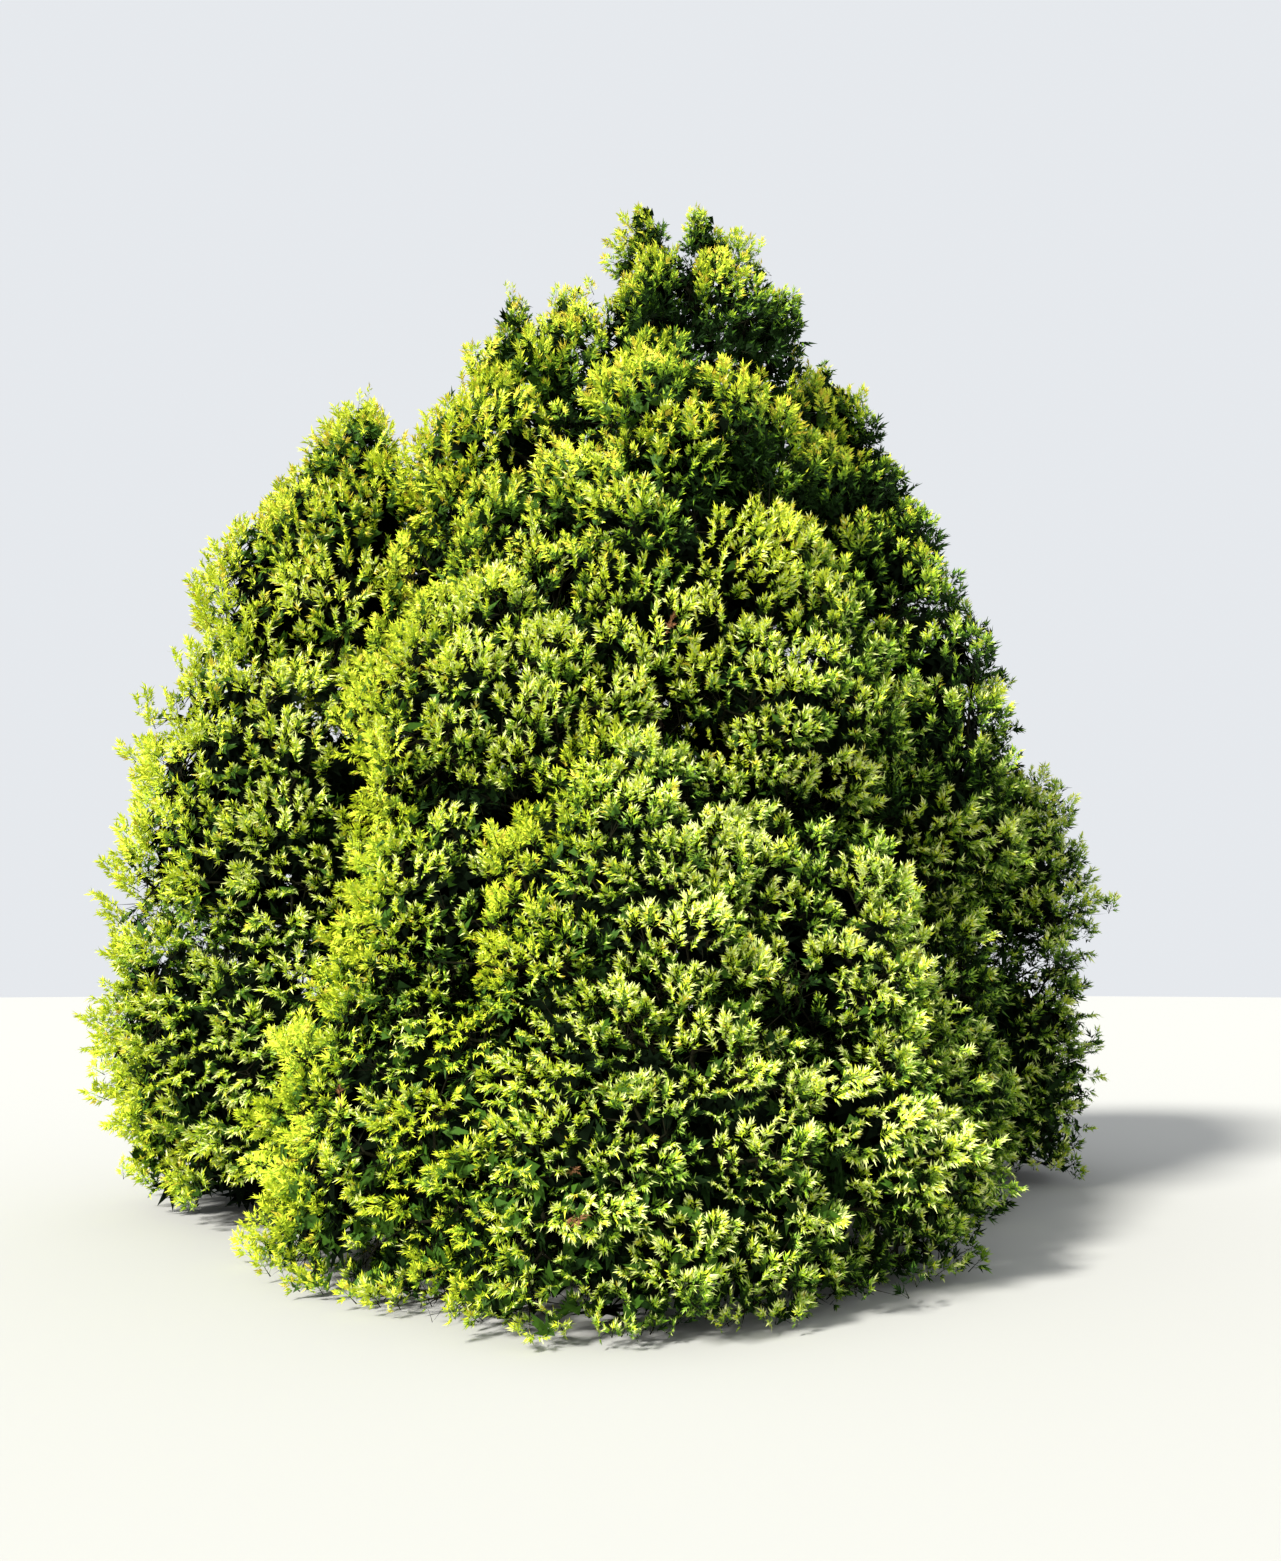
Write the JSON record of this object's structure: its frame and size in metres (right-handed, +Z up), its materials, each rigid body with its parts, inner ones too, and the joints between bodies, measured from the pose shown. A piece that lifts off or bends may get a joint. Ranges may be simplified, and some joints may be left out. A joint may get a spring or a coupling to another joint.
{
  "type": "cedar tree",
  "caption": "Golden cedar of the arborvitae kind: a broad, dense, many-lobed evergreen crown, leafy down to the ground, on one trunk with low boughs.",
  "frame": {"origin": "middle of the flat cut under the trunk, at ground level", "axes": "+Z up the trunk, -Y towards the viewer of the picture, +X to that viewer's right"},
  "size_m": [7.1814, 6.3492, 6.99],
  "materials": {
    "bark": "rough, fibrous red-brown bark",
    "foliage": "matte golden-green scale-leaf sprays"
  },
  "bodies": {
    "root": {"trunk": "bark", "back_left_bough": "bark", "back_right_bough": "bark", "front_bough": "bark", "front_left_bough": "bark", "front_right_bough": "bark", "left_bough": "bark", "right_lower_bough": "bark", "right_middle_bough": "bark", "back_left_crown": "foliage", "back_left_lower": "foliage", "back_right_crown": "foliage", "back_right_lower": "foliage", "front_crown": "foliage", "front_high_left_crown": "foliage", "front_high_left_lower": "foliage", "front_high_middle": "foliage", "front_high_right_crown": "foliage", "front_high_right_lower": "foliage", "front_low_left_crown": "foliage", "front_low_left_lower": "foliage", "front_low_middle_crown": "foliage", "front_low_middle_lower": "foliage", "front_low_right_crown": "foliage", "front_low_right_lower": "foliage", "left_crown": "foliage", "left_middle": "foliage", "left_skirt": "foliage", "right_lower_crown": "foliage", "right_lower_lower": "foliage", "right_middle_crown": "foliage", "right_middle_lower": "foliage", "right_upper_crown": "foliage", "right_upper_lower": "foliage", "top_left_crown": "foliage", "top_left_lower": "foliage", "top_right": "foliage", "top_shoulder": "foliage", "top_step": "foliage", "upper_left_crown": "foliage", "upper_left_lower": "foliage"}
  },
  "joints": []
}
